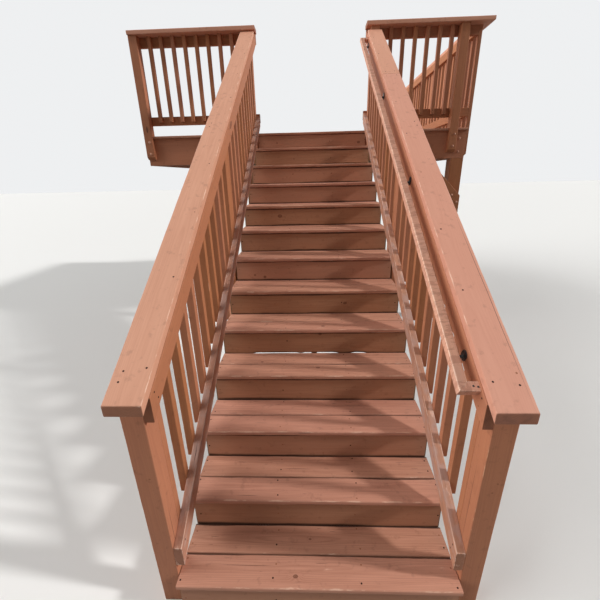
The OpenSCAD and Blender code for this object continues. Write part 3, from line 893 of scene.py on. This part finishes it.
# %% Deck guards
rail_look = dict(step=200, flats=(2, 4), bow=0.6, wear=0.6)
cap_look = dict(r=4.0, step=80, flats=(8, 2), bow=0.7, wear=1.2)
RAIL_LOWS = CAP_Z - RAIL_D, LOW_Z
CAP_OVER, CAP_LAP = 20, 8
CAP_FRONT, SIDE_OUT = POST_FRONT - CAP_OVER, EDGE_X + POST + CAP_OVER
DECK_END = STEPS * RUN + DECK_COUNT * (BOARD + GAP) - GAP
for side, (x0, x1) in {"left": (LEFT_X, -RAIL_IN), "right": (RAIL_IN, EDGE_X)}.items():
    piece("front_rails_" + side,
          [level(x0, x1, RAILS_Y, RAILS_Y + THICK, z, z + RAIL_D, "x", **rail_look)
           for z in RAIL_LOWS], "deck_rails_" + side, *STAINED)
piece("side_rails_long",
      [level(EDGE_X - THICK, EDGE_X, RAILS_Y + THICK, BACK_Y, z, z + RAIL_D, "y", **rail_look)
       for z in RAIL_LOWS], "side_rails", *STAINED)
deck_caps = {
    "front_cap_left": ("deck_cap_left", LEFT_X, CAP_LAP - RAIL_IN, CAP_FRONT, CAP_FRONT + BOARD, "x", 0, 0),
    "front_cap_right": ("deck_cap_right", RAIL_IN - CAP_LAP, SIDE_OUT - BOARD / 2, CAP_FRONT,
                        CAP_FRONT + BOARD, "x", 0, -1),
    "side_cap_long": ("side_cap", SIDE_OUT - BOARD, SIDE_OUT, CAP_FRONT + BOARD / 2, DECK_END, "y", 1, 0),
}
for name, (node, x0, x1, y0, y1, way, first, last) in deck_caps.items():
    piece(name, [level(x0, x1, y0, y1, CAP_Z, CAP_Z + THICK, way, cuts=((first, 0), (last, 0)),
                       **cap_look)], node, "stained_wood", cap_stain)
off_box("front_cap", "side_cap", "rails")

# %% [markdown]
# ## A knee brace
#
# Under the right wing a short board runs at 45 degrees from the front support
# post to the rim, and keeps the post from racking. Its foot is cut plumb, flush
# with the post, and its head level.

# %% Brace
FOOT_Z, HEAD_Z = 1486.0, 2150.0
slant = np.array([-1, 0, 1]) / math.sqrt(2)
piece("knee_brace_right",
      [board((EDGE_X, RIM_Y - THICK / 2, FOOT_Z), slant, np.cross(Y, slant),
             (HEAD_Z - FOOT_Z) * math.sqrt(2), BOARD, THICK, cuts=((1, 0), (-1, 0)), step=120,
             flats=(5, 2), bow=0.4, wear=0.8)], None, *STAINED)

# %% [markdown]
# ## What is left of the CAD model
#
# The stringers are sawn from planks and keep their CAD shape; they only get a
# material. Their coordinates are plain object coordinates, turned so that the
# grain runs up the rake.

# %% Stringers
for node in ("stringer_left", "stringer_centre", "stringer_right"):
    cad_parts[node].data.materials.clear()
    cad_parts[node].data.materials.append(raw_sawn)

# %% [markdown]
# ## Nails and bolts
#
# What holds the stair is small but it is everywhere: nail heads in rows over
# the stringers, and round bolt heads where the posts hang. A head is a profile
# of radius against height, turned about the direction out of the wood. All the
# heads of one kind are worked out in a single array.

# %% Turned heads
loose = np.random.default_rng(77)
NAIL = ((4.0, -2.0), (4.0, 0.3), (2.8, 0.8))
SCREW = ((4.0, -1.5), (4.0, 0.6), (3.4, 1.2), (1.6, 1.3), (1.2, 0.4))
BOLT = ((15, -1.0), (15, 1.8), (14.2, 2.3), (11.2, 2.3), (11, 3.4), (9, 5.4), (5, 6.8), (1.5, 7.2))


def turned(places, out, profile, sides, painted=0.55):
    """The same head at every place: rings of place + radius (cos a, sin a) + height out.

    painted is the share of the heads that the stain covers.
    """
    places = np.atleast_2d(np.asarray(places, float))
    out = np.broadcast_to(np.asarray(out, float), places.shape)
    aside = np.where(np.abs(out[:, :1]) < 0.9, X, Y)
    a_way = np.cross(aside, out)
    a_way /= np.linalg.norm(a_way, axis=1, keepdims=True)
    b_way = np.cross(out, a_way)
    turn = np.linspace(0, 2 * np.pi, sides, endpoint=False)[:, None]
    circle = np.cos(turn) * a_way[:, None] + np.sin(turn) * b_way[:, None]
    radius, height = np.array(profile).T[:, :, None, None]
    rings = places[:, None, None] + radius * circle[:, None] + height * out[:, None, None]
    one = part(rings[0])
    size = len(one["place"])
    shift = (np.arange(len(places)) * size)[:, None, None]
    ends = rings[:, [0, -1]].mean(2)
    luck = np.repeat(loose.uniform(0, 1, len(places)) < painted, size)
    return {**one, "place": np.concatenate([rings.reshape(len(places), -1, 3), ends], 1).reshape(-1, 3),
            "wood": np.zeros((len(places) * size, 3)), "quads": (one["quads"] + shift).reshape(-1, 4),
            "fans": (one["fans"] + shift).reshape(-1, 3), "plank": np.stack([luck] * 3, 1)}


def rows(*axes):
    """Every combination of the values along three axes, as a list of places."""
    return np.stack(np.meshgrid(*axes, indexing="ij"), -1).reshape(-1, 3).astype(float)


def shaken(places, by):
    """The places, each moved at random by up to the given distance along each axis."""
    return places + loose.uniform(-1, 1, places.shape) * by


def outwards(places):
    """X for a place on the right of the flight, and -X for one on its left."""
    return np.where(places[:, :1] > 0, X, -X)


heads = turned([[0, 0, 0], [50, 0, 0]], Z, NAIL, 8)
print("two nail heads:", len(heads["place"]), "vertices")


# %% Metal
def metal(name, bare, low, high, paint, flaked, rough, shiny=0.2):
    """Coated metal: the coat goes from low to high, paint is on a painted head, noise flakes it."""
    sh = Shader(bpy.data.materials.new(name))
    place = sh.node("TexCoord", out=3)
    luck = sh.xyz(sh.attribute("plank"))[0]
    speck = sh.noise(place, 420.0, 3, 0.6)
    patch = sh.noise(place, 90.0, 4, 0.6)
    flake = sh.ramp(speck + patch * 0.5, flaked, flaked + 0.08)
    colour = sh.mix(luck * 0.85, sh.mix(patch * 0.8, low, high), paint)
    bump = sh.node("Bump", {"Strength": 0.35, "Distance": 0.0004, "Height": speck + flake})
    return sh.end("Principled BSDF", {
        "Base Color": sh.mix(flake, colour, bare), "Normal": bump, "Specular IOR Level": shiny,
        "Roughness": sh.ramp(patch, 0.3, 0.7, rough - 0.08, rough + 0.12)})


nail_steel = metal("nail_rusted", (104, 60, 40), (34, 18, 13), (56, 30, 20), (168, 112, 84), 1.00, 0.85)
bolt_paint = metal("bolt_painted", (120, 112, 104), (170, 112, 80), (150, 96, 66), (196, 140, 112),
                   0.92, 0.42, 0.5)
black_iron = metal("bracket_black", (72, 62, 56), (24, 23, 24), (36, 34, 34), (30, 28, 28),
                   0.98, 0.40, 0.5)


def fixings(name, *heads, material=nail_steel):
    """One piece from arrays of heads; it stands for no CAD node."""
    piece(name, list(heads), None, "black_metal", material)


# %% Nails of the flight
NAIL_X = np.array([-600.0, -191.0, 199.0, 600.0])
BOARD_PAIR = np.array([-38.0, 40.0])
CAP_NAILS = {
    "left": [(-686, 99), (-691, 64), (-605, 109), (-612, 470), (-608, 838), (-690, 1590), (-684, 1630),
             (-611, 1212), (-606, 1960), (-612, 2340), (-605, 2725), (-610, 3105)],
    "right": [(606, 83), (692, 73), (697, 110), (614, 420), (612, 734), (613, 1135), (608, 1500),
              (694, 1585), (688, 1630), (611, 1880), (607, 2270), (690, 2282), (612, 2348), (686, 2352),
              (609, 2690), (613, 3060)]}
NEWEL_NAILS = np.array([[681, NEWEL_Y, 736.0], [668, NEWEL_Y, 690.0], [-650, NEWEL_Y, 742.0]])

step_no = np.repeat(np.arange(1, STEPS + 1), 2)
tread_mid = (step_no - 1) * RUN + np.tile([0, 1], STEPS) * (BOARD + GAP) + BOARD / 2
x, which, off = rows(NAIL_X, np.arange(2 * STEPS), BOARD_PAIR).T
which = which.astype(int)
places = np.stack([x, tread_mid[which] + off, step_no[which] * RISE], 1)
fixings("tread_nails", turned(shaken(places, (8, 14, 0)), Z, NAIL, 8))
x, n, _ = rows(NAIL_X, np.arange(1, STEPS + 2), [0]).T
places = np.stack([x * 0.985, (n - 1) * RUN + NOSING, n * RISE - BOARD_T - RISER_D / 2], 1)
fixings("riser_nails", turned(shaken(places, (9, 0, 14)), -Y, NAIL, 8))
for side, spots in CAP_NAILS.items():
    x, y = np.array(spots, float).T
    places = np.stack([x, y, nosing_z(y) + GUARD[side]], 1)
    fixings("cap_nails_" + side, turned(places, out_of_rake, NAIL, 8, 0.15))

rail_nails = shaken(np.array([
    (sign * RAIL_IN, y + d, nosing_z(y + d) + top - q * RAIL_T)
    for side, sign in SIDES.items() for y in (NEWEL_Y + 45, MID_Y + 45, POST_FRONT + 40)
    for top in (GUARD[side] - CAP_T, LOW_GAP + RAIL_T) for d, q in ((-8, 0.25), (10, 0.72))]), (0, 6, 4))
fixings("rail_nails", turned(rail_nails, -outwards(rail_nails), NAIL, 8), turned(NEWEL_NAILS, -Y, NAIL, 8))

stick_nails = shaken(np.concatenate([
    np.stack([np.full(len(flight_ys), sign * (HALF + BAL)), flight_ys, nosing_z(flight_ys) + up], 1)
    for side, sign in SIDES.items()
    for up in (LOW_GAP + 0.35 * RAIL_T, LOW_GAP + 0.75 * RAIL_T,
               GUARD[side] - CAP_T - 0.3 * RAIL_T, GUARD[side] - CAP_T - 0.7 * RAIL_T)]), (0, 5, 5))
front_up = LOW_Z + np.array([40, 66, 925 - RAIL_D, 955 - RAIL_D])
front = np.concatenate([rows(xs, [RAILS_Y - BAL], front_up) for xs in FRONT_X.values()])
beside = rows([EDGE_X + BAL], side_ys, [RIM_Z - 60, RIM_Z - 180, CAP_Z - 30, CAP_Z - 62])
fixings("baluster_nails", turned(stick_nails, outwards(stick_nails), NAIL, 6),
        turned(shaken(front, (5, 0, 4)), -Y, NAIL, 6), turned(shaken(beside, (0, 5, 4)), X, NAIL, 6))
print("nails in sticks:", len(stick_nails) + len(front) + len(beside))

# %% Nails of the deck
over_joists = np.array([LEFT_X + THICK / 2, *joist_x, EDGE_X - THICK / 2])
deck_mid = STEPS * RUN + np.arange(DECK_COUNT) * (BOARD + GAP) + BOARD / 2
places = np.concatenate([rows(over_joists, ys + d, [DECK_Z])
                         for ys, offs in ((deck_mid[1:], BOARD_PAIR), (deck_mid[:1], (24, 52)))
                         for d in offs])
fixings("deck_nails", turned(shaken(places, (6, 12, 0)), Z, NAIL, 6))
print("nails in the deck:", len(places))
cap_ys = [CAP_FRONT + 40, CAP_FRONT + 92]
places = np.concatenate([rows(xs, ys, [CAP_Z + THICK]) for xs, ys in (
    (np.arange(-1850, -600, 300), cap_ys), (np.arange(650, 1800, 270), cap_ys),
    ([SIDE_OUT - 52, SIDE_OUT - 108], np.arange(3420, 6300, 400)))])
fixings("deck_cap_nails", turned(shaken(places, (12, 8, 0)), Z, NAIL, 8))

# %% Bolts
front_bolts = [(x + d, POST_FRONT, z) for x in DECK_POSTS.values() for d, z in ((58, 2236), (52, 2115))]
front_bolts += [(x, RIM_Y, z) for x in (-1215.0, 1662.0) for z in (2196, 2060)]
front_bolts += [(x, RIM_Y - THICK, z) for x, z in ((1704, 1509), (1640, 1590), (1120, 2092))]
side_bolts = [(EDGE_X + POST, y + d, z) for y in (SIDE_POST_Y, BACK_Y - POST / 2)
              for d, z in ((6, 2236), (-4, 2115))]
flight_bolts = np.array([(sign * POST_OUT, y + POST / 2 + d, z) for sign in SIDES.values()
                         for y, d, z in ((NEWEL_Y, 8, 62), (NEWEL_Y, -6, 134),
                                         (MID_Y, 5, lower_z(MID_Y) + 88),
                                         (MID_Y, -7, lower_z(MID_Y) + 215))])
fixings("bolt_heads_round", turned(front_bolts, -Y, BOLT, 12), turned(side_bolts, X, BOLT, 12),
        turned(flight_bolts, outwards(flight_bolts), BOLT, 12), material=bolt_paint)
print("bolts:", len(front_bolts) + len(side_bolts) + len(flight_bolts))

# %% [markdown]
# ## Handrail brackets
#
# A cast bracket has an oval plate screwed to the guard, an arm that comes out
# and bends up, and a saddle, here flat, that takes the rail from below. The plate
# and the saddle are short boards with very round corners; the arm is a circle
# carried along a bent path and swelling where it meets the two.

# %% Brackets
PLATE_DOWN, BRACKETS = 43.3, 4
CAST = dict(ease_end=1.2, wear=0.2, tone=0.0)


def swept(path, radius, sideways, sides=14):
    """Rings of point + radius (cos a N + sin a B) along a path, B sideways and N square to both."""
    forward = np.gradient(path, axis=0)
    forward /= np.linalg.norm(forward, axis=1, keepdims=True)
    normal = np.cross(sideways, forward)
    a = np.linspace(0, 2 * np.pi, sides, endpoint=False)[None, :, None]
    return part(path[:, None] + radius[:, None, None] * (np.cos(a) * normal[:, None]
                                                          + np.sin(a) * sideways))


iron, screws = [], []
for y in np.linspace(GRIP_START + 136, GRIP_END - 104, BRACKETS):
    base = np.array([RAIL_IN, y, nosing_z(y) + GRIP_H])
    iron.append(board(base - PLATE_DOWN * out_of_rake, -X, out_of_rake, 4, 52, 38, r=18.6, step=4,
                      flats=(3, 3), turns=8, **CAST))
    iron.append(board(base - 57 * X - 24 * up_rake - 39.5 * out_of_rake, up_rake, X, 48, 27, 3, r=1.3,
                      step=6, flats=(6, 1), turns=2, **CAST))
    bend = np.linspace(0, np.pi / 2, 10)[:, None]
    arc = (-45 - 12 * np.sin(bend)) * X + (-40 - 12 * np.cos(bend)) * out_of_rake
    level_arm = np.linspace(-3, -43, 8)[:, None] * X - 52 * out_of_rake
    path = base + np.concatenate([level_arm, arc])
    far = np.linspace(0, 1, len(path))
    iron.append(swept(path, 5.2 + 4 * np.exp(-far / 0.07) + 2.6 * np.exp((far - 1) / 0.07), up_rake))
    screws += [base - 4 * X - (PLATE_DOWN + d) * out_of_rake for d in (-17, 17)]
piece("bracket_castings", iron, "handrail_brackets", "black_metal", black_iron)
grip_screws = np.array([end + way * up * up_rake + over * X for end, way in ((low_end, 1), (high_end, -1))
                        for up, over in ((19, 34), (16, 50))])
fixings("bracket_screws", turned(screws, -X, SCREW, 10),
        turned(grip_screws + STICK / 2 * out_of_rake, out_of_rake, SCREW, 10), material=black_iron)
off_box("bracket")
print("screws:", len(screws) + len(grip_screws))

# %% [markdown]
# ## Studio
#
# A pale floor and three far lamps: a low one from the right, which throws the
# guard's shadow over the treads, a wide soft one from the left, and a faint one
# from above. The tops of the boards then read about as the stain is written,
# and the risers and the fronts of the posts stand in their own shade. The floor
# and the sky are pale where they are seen and darker as sources of light.

# %% Floor and lamps
FLOOR_HALF = 60
LAMPS = {"key_right": (2.6, 0.08, (1.82, -0.23, 1.0)), "fill_left": (3.5, 1.2, (-1.0, 0.02, 0.42)),
         "overhead": (0.2, 2.2, (0, 0, 1))}

sheet = bpy.data.meshes.new("floor")
sheet.from_pydata([(a * FLOOR_HALF, b * FLOOR_HALF, 0) for a, b in ((-1, -1), (1, -1), (1, 1), (-1, 1))],
                  [], [(0, 1, 2, 3)])
floor = bpy.data.objects.new("floor", sheet)
bpy.context.scene.collection.objects.link(floor)
paper = Shader(bpy.data.materials.new("pale_floor"))
sheet.materials.append(paper.end("Principled BSDF", {
    "Base Color": paper.mix(paper.straight(), (120, 118, 112), (232, 231, 228)), "Roughness": 0.9}))

for name, (energy, spread, toward) in LAMPS.items():
    data = bpy.data.lights.new(name, "SUN")
    data.energy, data.angle = energy, spread
    thing = bpy.data.objects.new(name, data)
    thing.rotation_mode = "QUATERNION"
    thing.rotation_quaternion = Vector(toward).to_track_quat("Z", "Y")
    bpy.context.scene.collection.objects.link(thing)

sky = Shader(bpy.data.worlds.new("studio"))
strength = sky.node("Mix", {0: sky.straight(), 2: 0.16, 3: 1.0}, data_type="FLOAT")
bpy.context.scene.world = sky.end("Background", {"Strength": strength, "Color": (0.86, 0.87, 0.88, 1)})
print("lamps:", list(LAMPS), "floor:", 2 * FLOOR_HALF, "m")

# %% [markdown]
# The camera was fitted to corner points of the stair in the photograph: a
# focal length in pixels, an eye in the flight's millimetres, and three turns.

# %% Camera
FOCAL_PX, PHOTO_PX, SENSOR = 335.79, 600, 36.0
PITCH_DOWN, YAW, ROLL = 0.3532, -0.03952, -0.02407
EYE = Vector((-8.29, -918.10, 1837.09))

camera = bpy.data.cameras.new("camera")
camera.sensor_width, camera.lens = SENSOR, FOCAL_PX / PHOTO_PX * SENSOR
camera.clip_end = 200
ahead = Vector((math.sin(YAW) * math.cos(PITCH_DOWN), math.cos(YAW) * math.cos(PITCH_DOWN),
                -math.sin(PITCH_DOWN)))
right_level = Vector((math.cos(YAW), -math.sin(YAW), 0))
up_level = right_level.cross(ahead)
right = math.cos(ROLL) * right_level + math.sin(ROLL) * up_level
up = -math.sin(ROLL) * right_level + math.cos(ROLL) * up_level
eye = (EYE - Vector(ORIGIN)) / 1000
view = bpy.data.objects.new("camera", camera)
view.matrix_world = Matrix.Translation(eye) @ Matrix((right, up, -ahead)).transposed().to_4x4()
bpy.context.scene.collection.objects.link(view)
bpy.context.scene.camera = view
bpy.context.scene.view_settings.view_transform = "Standard"
print("camera at", tuple(round(v, 3) for v in eye), "lens", round(camera.lens, 2), "mm")

# %% Sizes, and the end
bpy.context.view_layer.update()
worst = sorted(made.items(), key=lambda item: -item[1])[:6]
print("farthest from its CAD box, mm:", [(k, round(v, 2)) for k, v in worst])
